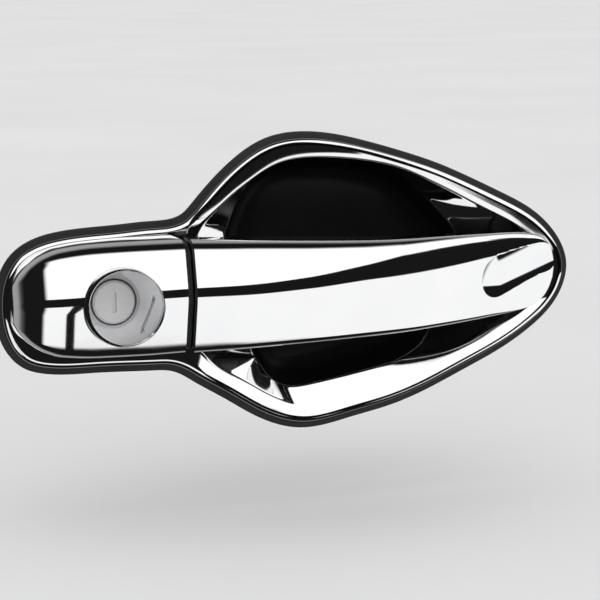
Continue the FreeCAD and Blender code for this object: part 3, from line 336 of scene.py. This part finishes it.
def rod_y(centre_x, centre_z, radius, front, back, sides=96):
    """A round cutting tool along Y."""
    angles = np.arange(sides) * 2 * math.pi / sides
    rings = []
    for y in (front, back):
        xs = centre_x + radius * np.cos(angles)
        zs = centre_z + radius * np.sin(angles)
        rings.append(np.stack([xs, np.full(sides, float(y)), zs], axis=1))
    return tube_solid("tool", rings)


# ---------------------------------------------------------------- escutcheon

RIM_POINTS = 720


def outline_ring(inset, y, count=RIM_POINTS):
    """The escutcheon's outline moved inward by inset, as a closed ring at depth y."""
    knots = chord_knots(OUTLINE)
    places = np.arange(count) * knots[-1] / count
    curve = closed_curve(OUTLINE, knots, places)
    along = np.roll(curve, -1, axis=0) - np.roll(curve, 1, axis=0)
    along /= np.linalg.norm(along, axis=1)[:, None]
    inward = np.stack([-along[:, 1], along[:, 0]], axis=1)
    area = np.sum(curve[:, 0] * np.roll(curve[:, 1], -1) - np.roll(curve[:, 0], -1) * curve[:, 1])
    if area < 0:
        inward = -inward
    moved = curve + inward * inset
    return np.stack([moved[:, 0], np.full(count, float(y)), moved[:, 1]], axis=1)


PROFILE_STEPS = 7
PROFILE_ROWS = PROFILE_STEPS + 1


def rounded_profile(corners, reaches, steps=PROFILE_STEPS):
    """Rows of points down a set of corner rings, each inner corner eased into a curve."""
    rows = [corners[0]]
    for index in range(1, len(corners) - 1):
        here = corners[index]
        before = corners[index - 1] - here
        after = corners[index + 1] - here
        near = np.linalg.norm(before, axis=1)[:, None]
        far = np.linalg.norm(after, axis=1)[:, None]
        start = here + before / near * np.minimum(reaches[index], 0.45 * near)
        end = here + after / far * np.minimum(reaches[index], 0.45 * far)
        for step in range(steps + 1):
            part = step / steps
            rows.append(start * (1 - part) ** 2 + here * 2 * part * (1 - part) + end * part**2)
    rows.append(corners[-1])
    return rows


def spread(rows, longest=3.0):
    """Extra rows between far rows, so that long facets have an even mesh."""
    result = [rows[0]]
    for before, after in zip(rows, rows[1:]):
        length = float(np.max(np.linalg.norm(after - before, axis=1)))
        pieces = max(1, int(math.ceil(length / longest)))
        for step in range(1, pieces + 1):
            result.append(before + (after - before) * step / pieces)
    return result


def dish_corners(count=RIM_POINTS):
    """The four corner rings of the dish: crest, fold, mouth and floor."""
    crest = np.array([(c[0], PAD_Y, c[1]) for c, _, _ in DISH])
    fold = np.array([f for _, f, _ in DISH])
    mouth = np.array([m for _, _, m in DISH])
    floor = DISH_MIDDLE + (mouth - DISH_MIDDLE) * FLOOR_SCALE
    floor[:, 1] = POCKET_FLOOR_Y
    knots = chord_knots(crest)
    places = np.arange(count) * knots[-1] / count
    return [closed_curve(ring, knots, places) for ring in (crest, fold, mouth, floor)]


def away(ring, distance, y=None):
    """The ring moved away from the middle of the dish, and to depth y if given."""
    across = ring - DISH_MIDDLE
    across[:, 1] = 0
    across /= np.linalg.norm(across, axis=1)[:, None]
    moved = ring + across * distance
    if y is not None:
        moved[:, 1] = y
    return moved


def flat_between(outer, inner, outer_first, inner_first):
    """Triangles that fill the flat region between two closed rings."""
    loops = [[Vector((p[0], p[2], 0)) for p in ring] for ring in (outer, inner)]
    numbers = list(range(outer_first, outer_first + len(outer)))
    numbers += list(range(inner_first, inner_first + len(inner)))
    return [tuple(numbers[i] for i in face) for face in tessellate_polygon(loops)]


def escutcheon():
    """Chrome backplate with its pad, rim band and finger dish, as one closed shell; the inside of
    the pocket takes a near-black material, a painted dark reflection on what is one chrome part.
    """
    crest, fold, mouth, floor = dish_corners()
    lip = away(crest, 0.6)
    centre = DISH_MIDDLE + (floor - DISH_MIDDLE) * 0.02
    centre[:, 1] = POCKET_FLOOR_Y
    profile = rounded_profile([lip, crest, fold, mouth, floor, centre], [0, 0.5, 1.2, 1.0, 9.0, 0])
    pocket_start = 1 + 2 * PROFILE_ROWS + PROFILE_ROWS // 2
    band = spread(profile[:pocket_start + 1])
    front = band + spread(profile[pocket_start:])[1:]
    edge = [outline_ring(1.7, PAD_Y), outline_ring(0.6, PAD_Y + 0.4), outline_ring(0, PAD_Y + 1.2)]
    edge.append(outline_ring(0, GASKET_FRONT_Y))
    rim = rounded_profile([outline_ring(2.6, PAD_Y)] + edge, [0, 0.6, 0.5, 0.4, 0])
    tub_top = away(fold, 1.2, GASKET_FRONT_Y)
    tub_mouth = away(mouth, WALL)
    tub_mouth[:, 1] += 1.0
    tub_floor = away(floor, WALL, POCKET_FLOOR_Y + WALL)
    tub_centre = centre.copy()
    tub_centre[:, 1] = POCKET_FLOOR_Y + WALL
    back = spread(rounded_profile([tub_top, tub_mouth, tub_floor, tub_centre], [0, 2, 2, 0]), 6.0)
    rows = front + rim + back
    count = RIM_POINTS
    points = np.concatenate(rows)
    rim_first = len(front) * count
    back_first = rim_first + len(rim) * count
    faces = band_faces(count, len(front))
    faces += band_faces(count, len(rim), rim_first)
    faces += band_faces(count, len(back), back_first)
    faces += flat_between(rim[0], front[0], rim_first, 0)
    faces += flat_between(rim[-1], back[0], back_first - count, back_first)
    faces.append(tuple(range(rim_first - count, rim_first)))
    end = len(points)
    faces.append(tuple(range(end - count, end)))
    # the pocket's faces take the second material, near-black: painted dark reflection, standing in
    # for the darkness the chrome pocket reflects
    pocket = range((len(band) - 1) * count, (len(front) - 1) * count)
    finishes = (materials["chrome"], materials["pocket_painted_reflection"])
    piece = new_piece("escutcheon", points, faces, finishes, pocket)
    hook_slot = block((-47.8, -6, -8), (-30, 14, 8))
    hinge_slot = block((88, -6, -7.5), (113.5, 12, 7.5))
    cylinder_hole = rod_y(LOCK_X, LOCK_Z, 12.0, -6, 4)
    carved(piece, [hook_slot, hinge_slot, cylinder_hole])
    smoothed(piece)
    return piece


def gasket():
    """Rubber lip that shows as a dark line all round the escutcheon."""
    corners = [
        outline_ring(GASKET_IN, GASKET_FRONT_Y),
        outline_ring(-0.3, GASKET_FRONT_Y),
        outline_ring(-GASKET_OUT, GASKET_FRONT_Y + 0.05),
        outline_ring(-GASKET_OUT, GASKET_REAR_Y),
        outline_ring(GASKET_IN, GASKET_REAR_Y),
    ]
    rows = rounded_profile(corners, [0, 0.4, 0.7, 0.5, 0])
    faces = loop_faces(RIM_POINTS, len(rows))
    piece = new_piece("gasket_lip", np.concatenate(rows), faces)
    smoothed(piece)
    return piece


# ---------------------------------------------------------------- grip and cap


def section_ring(x, corners, radii, arc_steps=16, side_steps=8):
    """One closed section at x: straight sides joined by arcs, eased where a side is short."""
    spots = np.array(corners, float)
    count = len(spots)
    to_before = np.roll(spots, 1, axis=0) - spots
    to_after = np.roll(spots, -1, axis=0) - spots
    near = np.linalg.norm(to_before, axis=1)
    far = np.linalg.norm(to_after, axis=1)
    to_before /= near[:, None]
    to_after /= far[:, None]
    halves = np.arccos(np.clip(np.sum(to_before * to_after, axis=1), -1, 1)) / 2
    reaches = np.array(radii) / np.tan(halves)
    ease = np.ones(count)
    for index in range(count):
        following = (index + 1) % count
        share = 0.92 * far[index] / (reaches[index] + reaches[following])
        ease[index] = min(ease[index], share)
        ease[following] = min(ease[following], share)
    ring = []
    for index in range(count):
        radius = radii[index] * ease[index]
        middle = to_before[index] + to_after[index]
        middle /= np.linalg.norm(middle)
        centre = spots[index] + middle * radius / math.sin(halves[index])
        start = spots[index] + to_before[index] * reaches[index] * ease[index] - centre
        end = spots[index] + to_after[index] * reaches[index] * ease[index] - centre
        turn = math.pi - 2 * halves[index]
        for step in range(arc_steps + 1):
            part = step / arc_steps
            first = math.sin((1 - part) * turn) / math.sin(turn)
            second = math.sin(part * turn) / math.sin(turn)
            ring.append(centre + start * first + end * second)
        following = (index + 1) % count
        reach = reaches[following] * ease[following]
        arrive = spots[following] + to_before[following] * reach
        leave = centre + end
        for step in range(1, side_steps):
            ring.append(leave + (arrive - leave) * step / side_steps)
    ring = np.array(ring)
    return np.stack([np.full(len(ring), float(x)), ring[:, 0], ring[:, 1]], axis=1)


def five_corners(high, low, ridge, skin, rear):
    """Corners (y, z) of a section whose front leans back from its ridge."""
    return [
        (rear, high),
        (skin + (high - ridge) * UPPER_LEAN, high),
        (skin, ridge),
        (skin + (ridge - low) * LOWER_LEAN, low),
        (rear, low),
    ]


def grip_ring(x, inset=0.0, past_back=0.0, **steps):
    """Section of the grip at x, its wall taken off by inset."""
    top, bottom, ridge, face, back, top_r, ridge_r, bottom_r = station_at(GRIP_STATIONS, x)
    corners = five_corners(top - inset, bottom + inset, ridge, face + inset, back + past_back)
    rear_r = 0.9 if top_r > 1.0 else 0.5
    upper = max(top_r - inset, top_r * 0.5)
    lower = max(bottom_r - 0.8 * inset, 0.6)
    return section_ring(x, corners, [rear_r, upper, ridge_r, lower, rear_r], **steps)


def cap_ring(x, inset=0.0, past_back=0.0, **steps):
    """Section of the lock cap at x, its wall taken off by inset."""
    top, bottom, ridge, face, top_r, bottom_r = station_at(CAP_STATIONS, x)
    corners = five_corners(top - inset, bottom + inset, ridge, face + inset, PAD_Y + past_back)
    upper = max(top_r - 0.5 * inset, 0.8)
    lower = max(bottom_r - 0.5 * inset, 0.8)
    radii = [0.3, upper, CAP_RIDGE_RADIUS * min(1.0, top_r / CAP_STATIONS[0][5]), lower, 0.3]
    return section_ring(x, corners, radii, **steps)


def even(start, end, step):
    """Evenly spaced places from start to end, about step apart."""
    return np.linspace(start, end, int(abs(end - start) / step) + 1)


def scoop_tool(radius):
    """A rounded groove: half a ball at the start, then a round bar along the run."""
    run = SCOOP_RUN / np.linalg.norm(SCOOP_RUN)
    side = np.cross(run, (0, 0, 1.0))
    side /= np.linalg.norm(side)
    other = np.cross(run, side)
    angles = np.arange(360) * 2 * math.pi / 360
    around = np.cos(angles)[:, None] * side + np.sin(angles)[:, None] * other
    rings = []
    for tilt in np.radians(np.arange(-89.5, 0.0, 1.0)):
        centre = SCOOP_START + run * radius * math.sin(tilt)
        rings.append(centre + around * radius * math.cos(tilt))
    for distance in np.linspace(0, 60, 31):
        rings.append(SCOOP_START + run * distance + around * radius)
    return tube_solid("tool", rings)


def grip_cover():
    """Chrome shell of the grip, hollow from behind, with the scoop at its front end."""
    first, last = GRIP_STATIONS[0][0], GRIP_STATIONS[-1][0]
    outer = tube_solid("grip_shell", [grip_ring(x) for x in even(first, last, 0.5)])
    places = even(first + WALL, GRIP_INNER_END_X, 2.0)
    inner = tube_solid("tool", [grip_ring(x, WALL, 2.0, arc_steps=6, side_steps=3) for x in places])
    carved(inner, [scoop_tool(SCOOP_RADIUS + WALL)])
    carved(outer, [scoop_tool(SCOOP_RADIUS), inner])
    smoothed(outer)
    return outer


def lock_cap():
    """Chrome cap at the lock end, hollow from behind, bored for the funnel."""
    first, last = CAP_STATIONS[0][0], CAP_STATIONS[-1][0]
    outer = tube_solid("cap_shell", [cap_ring(x) for x in even(first, last, 0.4)])
    places = even(first - WALL, CAP_INNER_END_X, 2.0)
    inner = tube_solid("tool", [cap_ring(x, WALL, 2.0, arc_steps=6, side_steps=3) for x in places])
    carved(outer, [inner, rod_y(LOCK_X, LOCK_Z, BEZEL_R + 0.05, -40, 0, sides=BEZEL_SIDES)])
    smoothed(outer)
    return outer


def bezel():
    """Chrome funnel round the key slot, its rim trimmed by the slope of the cap."""
    slope = 0.2
    plane_y = -26.4
    mouth_r, throat_r, funnel_front, throat_y = 16.4, 9.0, -32.5, -10.0
    flare = (mouth_r - throat_r) / (throat_y - funnel_front)
    angles = np.arange(BEZEL_SIDES) * 2 * math.pi / BEZEL_SIDES
    cosines, sines = np.cos(angles), np.sin(angles)
    rim_r = (throat_r + flare * (throat_y - plane_y)) / (1 - flare * slope * cosines)
    rim_r = np.minimum(rim_r, BEZEL_R - 0.35)

    def ring(radius, y):
        radius = np.broadcast_to(radius, angles.shape)
        return np.stack([LOCK_X + radius * cosines, y, LOCK_Z + radius * sines], axis=1)

    def on_plane(radius):
        return plane_y - slope * radius * cosines

    flat = np.ones_like(angles)
    corners = [
        ring(BEZEL_R, BEZEL_REAR_Y * flat),
        ring(BEZEL_R, on_plane(BEZEL_R)),
        ring(rim_r, on_plane(rim_r)),
        ring(throat_r, throat_y * flat),
        ring(throat_r, BEZEL_REAR_Y * flat),
    ]
    rows = spread(rounded_profile(corners, [0, 0.25, 0.25, 0.5, 0]), 1.0)
    faces = loop_faces(BEZEL_SIDES, len(rows))
    piece = new_piece("key_funnel", np.concatenate(rows), faces)
    smoothed(piece)
    return piece


# ---------------------------------------------------------------- materials


def new_material(name):
    """A node material, its node tree and its main shader."""
    material = bpy.data.materials.new(name)
    material.use_nodes = True
    tree = material.node_tree
    shader = tree.nodes["Principled BSDF"]
    return material, tree, shader


def noise(tree, scale, detail=4.0, roughness=0.55, stretch=(1, 1, 1)):
    """Procedural noise in object space; its values run from 0 to 1."""
    place = tree.nodes.new("ShaderNodeTexCoord")
    mapping = tree.nodes.new("ShaderNodeMapping")
    mapping.inputs["Scale"].default_value = stretch
    texture = tree.nodes.new("ShaderNodeTexNoise")
    texture.inputs["Scale"].default_value = scale
    texture.inputs["Detail"].default_value = detail
    texture.inputs["Roughness"].default_value = roughness
    tree.links.new(place.outputs["Object"], mapping.inputs["Vector"])
    tree.links.new(mapping.outputs["Vector"], texture.inputs["Vector"])
    return texture.outputs["Fac"]


def ranged(tree, source, low, high):
    """The middle of a noise's range spread from low to high."""
    scale = tree.nodes.new("ShaderNodeMapRange")
    scale.inputs["From Min"].default_value = 0.3
    scale.inputs["From Max"].default_value = 0.7
    scale.inputs["To Min"].default_value = low
    scale.inputs["To Max"].default_value = high
    tree.links.new(source, scale.inputs["Value"])
    return scale.outputs["Result"]


def tinted(tree, shader, source, dark, light):
    """Base colour that varies between two tones with a noise."""
    ramp = tree.nodes.new("ShaderNodeValToRGB")
    ramp.color_ramp.elements[0].position = 0.3
    ramp.color_ramp.elements[0].color = (*dark, 1)
    ramp.color_ramp.elements[1].position = 0.7
    ramp.color_ramp.elements[1].color = (*light, 1)
    tree.links.new(source, ramp.inputs["Fac"])
    tree.links.new(ramp.outputs["Color"], shader.inputs["Base Color"])


def bumped(tree, shader, source, strength, distance):
    """Fine relief of the surface from a noise."""
    bump = tree.nodes.new("ShaderNodeBump")
    bump.inputs["Strength"].default_value = strength
    bump.inputs["Distance"].default_value = distance
    tree.links.new(source, bump.inputs["Height"])
    tree.links.new(bump.outputs["Normal"], shader.inputs["Normal"])


def chrome():
    """Bright plating: a mirror with faint haze and the least trace of orange peel."""
    material, tree, shader = new_material("chrome_plating")
    shader.inputs["Metallic"].default_value = 1.0
    haze = noise(tree, 22.0)
    tinted(tree, shader, haze, (0.90, 0.905, 0.915), (0.95, 0.952, 0.957))
    tree.links.new(ranged(tree, noise(tree, 60.0), 0.025, 0.055), shader.inputs["Roughness"])
    bumped(tree, shader, noise(tree, 180.0, 2.0), 0.02, 0.0001)
    return material


def metal(name, dark, light, rough, grain, stretch, bump, metallic=1.0):
    """Worked metal whose tone and roughness follow one grain."""
    material, tree, shader = new_material(name)
    shader.inputs["Metallic"].default_value = metallic
    texture = noise(tree, grain, 6.0, 0.6, stretch)
    tinted(tree, shader, texture, dark, light)
    tree.links.new(ranged(tree, texture, *rough), shader.inputs["Roughness"])
    bumped(tree, shader, noise(tree, grain * 2.5, 3.0, 0.6, stretch), bump, 0.0002)
    return material


def polymer(name, dark, light, rough, grain, bump, specular=0.5):
    """Moulded plastic or rubber with a fine texture."""
    material, tree, shader = new_material(name)
    shader.inputs["Specular IOR Level"].default_value = specular
    tinted(tree, shader, noise(tree, 40.0), dark, light)
    tree.links.new(ranged(tree, noise(tree, grain), *rough), shader.inputs["Roughness"])
    bumped(tree, shader, noise(tree, grain, 3.0), bump, 0.0002)
    return material


def make_materials():
    """All finishes, by the material slot that uses them, and the near-black painted dark reflection
    for the inside of the pocket.
    """
    even_grain = (1, 1, 1)
    return {
        "chrome": chrome(),
        "gasket_rubber": polymer(
            "gasket_rubber", (0.012, 0.012, 0.013), (0.022, 0.022, 0.023), (0.42, 0.6), 900, 0.25
        ),
        "black_nylon": polymer(
            "black_nylon", (0.014, 0.014, 0.015), (0.026, 0.026, 0.027), (0.4, 0.58), 1400, 0.3
        ),
        # painted dark reflection: near-black for the inside of the pocket, which is plated chrome
        # like the rest of the escutcheon
        "pocket_painted_reflection": polymer(
            "pocket_painted_reflection", (0.003, 0.003, 0.003), (0.006, 0.006, 0.006), (0.32, 0.44),
            500, 0.04, specular=0.22,
        ),
        "clip_plastic": polymer(
            "clip_plastic", (0.34, 0.35, 0.33), (0.45, 0.46, 0.43), (0.35, 0.5), 1100, 0.15
        ),
        "die_cast": metal(
            "die_cast_zinc", (0.30, 0.31, 0.32), (0.44, 0.45, 0.46), (0.38, 0.58),
            320, even_grain, 0.3,
        ),
        "brass": metal(
            "machined_brass", (0.60, 0.43, 0.18), (0.74, 0.55, 0.25), (0.2, 0.36),
            300, (1, 6, 1), 0.15,
        ),
        "satin_steel": metal(
            "satin_steel", (0.90, 0.90, 0.91), (0.96, 0.96, 0.96), (0.46, 0.58),
            420, (1, 1, 5), 0.06, metallic=0.35,
        ),
        "steel": metal(
            "zinc_plated_steel", (0.46, 0.47, 0.47), (0.62, 0.62, 0.60), (0.22, 0.42),
            260, even_grain, 0.2,
        ),
    }


def dress_nodes(materials):
    """Gives every CAD node that stays visible the finish its record names."""
    by_node = {part["node"]: part["material_slot"] for part in frame["record"]["subparts"]}
    for name, item in nodes.items():
        item.data.materials.clear()
        item.data.materials.append(materials[by_node[name]])
    return by_node


# ---------------------------------------------------------------- pieces

materials = make_materials()
slot_of = dress_nodes(materials)

for build, node, body in (
    (escutcheon, "bowl", "housing"),
    (gasket, "bowl_gasket", "housing"),
    (lock_cap, "lock_cap", "housing"),
    (bezel, "cylinder_bezel", "housing"),
    (grip_cover, "grip_cover", "grip"),
):
    piece = build()
    if not piece.data.materials:
        piece.data.materials.append(materials[slot_of[node]])
    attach(piece, body)
    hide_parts(node)

# ---------------------------------------------------------------- studio

FLOOR_Z = cad_bounds[0][2] - 0.03
FLOOR_HALF = 30.0

# Where each card begins and ends, as parts of the direction looked in: the first number is
# where it is dark and the second where it is lit.
CARD_FRONT = (0.3, 0.05)
CARD_LOCK_SIDE = (-0.56, -0.44)
UPPER_FOOT = (0.150, 0.165)
UPPER_HEAD = (0.84, 0.66)
LOWER_FOOT = (-0.62, -0.59)
LOWER_HEAD = (-0.225, -0.24)
LOWER_LEVEL = 0.88
# a narrow dark upright splits the lower card
UPRIGHT_RIGHT = (-0.135, -0.125)
UPRIGHT_LEFT = (-0.185, -0.195)
ROOM_BEHIND = (0.0, 0.5)
ROOM_LEVEL = 0.30
BASE_LEVEL = 0.008
LIGHT_STRENGTH = 1.12
# the pale surroundings: what soft surfaces are lit by, and what the camera sees
SOFT_GREY = 0.9
BACKDROP_GREY = 0.86


def studio_floor():
    """A wide pale floor below the handle."""
    mesh = bpy.data.meshes.new("studio_floor")
    half = FLOOR_HALF
    corners = [(-half, -half), (half, -half), (half, half), (-half, half)]
    mesh.from_pydata([(x, y, FLOOR_Z) for x, y in corners], [], [(0, 1, 2, 3)])
    floor = bpy.data.objects.new("studio_floor", mesh)
    bpy.context.scene.collection.objects.link(floor)
    material, tree, shader = new_material("pale_floor")
    tinted(tree, shader, noise(tree, 3.0), (0.80, 0.80, 0.80), (0.84, 0.84, 0.84))
    shader.inputs["Roughness"].default_value = 0.9
    mesh.materials.append(material)
    # the chrome is lit by the world's soft bands, so the floor stays out of its reflections
    floor.visible_glossy = False


def studio_world():
    """Dark-field lighting: a soft card above and one below the lens line, the rest dim."""
    world = bpy.data.worlds.new("studio")
    bpy.context.scene.world = world
    world.use_nodes = True
    tree = world.node_tree
    background = tree.nodes["Background"]
    place = tree.nodes.new("ShaderNodeTexCoord")
    split = tree.nodes.new("ShaderNodeSeparateXYZ")
    tree.links.new(place.outputs["Generated"], split.inputs["Vector"])

    def step(axis, low, high):
        """0 at low and 1 at high along one axis, eased between; low may be the larger."""
        ease = tree.nodes.new("ShaderNodeMapRange")
        ease.interpolation_type = "SMOOTHSTEP"
        ease.inputs["From Min"].default_value = min(low, high)
        ease.inputs["From Max"].default_value = max(low, high)
        ease.inputs["To Min"].default_value = 0.0 if low < high else 1.0
        ease.inputs["To Max"].default_value = 1.0 if low < high else 0.0
        tree.links.new(split.outputs[axis], ease.inputs["Value"])
        return ease.outputs["Result"]

    def join(operation, first, second):
        node = tree.nodes.new("ShaderNodeMath")
        node.operation = operation
        for value, slot in ((first, node.inputs[0]), (second, node.inputs[1])):
            if isinstance(value, float):
                slot.default_value = value
            else:
                tree.links.new(value, slot)
        return node.outputs["Value"]

    def product(*values):
        result = values[0]
        for value in values[1:]:
            result = join("MULTIPLY", result, value)
        return result

    front = step("Y", *CARD_FRONT)
    inside = step("X", *CARD_LOCK_SIDE)
    gap = join("MAXIMUM", step("X", *UPRIGHT_RIGHT), step("X", *UPRIGHT_LEFT))
    upper = product(step("Z", *UPPER_FOOT), step("Z", *UPPER_HEAD), front, inside)
    below = (step("Z", *LOWER_FOOT), step("Z", *LOWER_HEAD))
    lower = product(*below, front, inside, gap, LOWER_LEVEL)
    room = product(step("Y", *ROOM_BEHIND), ROOM_LEVEL)
    total = join("ADD", join("MAXIMUM", join("MAXIMUM", upper, lower), room), BASE_LEVEL)
    shade = tree.nodes.new("ShaderNodeCombineColor")
    for channel in ("Red", "Green", "Blue"):
        tree.links.new(total, shade.inputs[channel])
    path = tree.nodes.new("ShaderNodeLightPath")
    colour = shade.outputs["Color"]
    for ray, grey in (("Is Diffuse Ray", SOFT_GREY), ("Is Camera Ray", BACKDROP_GREY)):
        mix = tree.nodes.new("ShaderNodeMix")
        mix.data_type = "RGBA"
        tree.links.new(path.outputs[ray], mix.inputs["Factor"])
        tree.links.new(colour, mix.inputs["A"])
        mix.inputs["B"].default_value = (grey, grey, grey, 1)
        colour = mix.outputs["Result"]
    tree.links.new(colour, background.inputs["Color"])
    background.inputs["Strength"].default_value = LIGHT_STRENGTH


def studio_camera():
    """A long lens, a little above and to the lock side of the handle."""
    right = Vector((0.9397, -0.3420, 0.0))
    back = Vector((-0.3378, -0.9281, 0.1564))
    up = back.cross(right)
    distance = 0.918
    target = right * 0.0032 - up * 0.0078
    lens = bpy.data.cameras.new("studio_camera")
    lens.lens = 135.0
    lens.sensor_width = 36.0
    lens.dof.use_dof = False
    lens.clip_start = 0.01
    lens.clip_end = 20.0
    camera = bpy.data.objects.new("studio_camera", lens)
    bpy.context.scene.collection.objects.link(camera)
    turn = Matrix((right, up, back)).transposed() @ Matrix.Rotation(math.radians(-0.8), 3, "Z")
    camera.matrix_world = Matrix.Translation(target + back * distance) @ turn.to_4x4()
    bpy.context.scene.camera = camera


studio_floor()
studio_world()
studio_camera()
bpy.context.scene.view_settings.view_transform = "Standard"
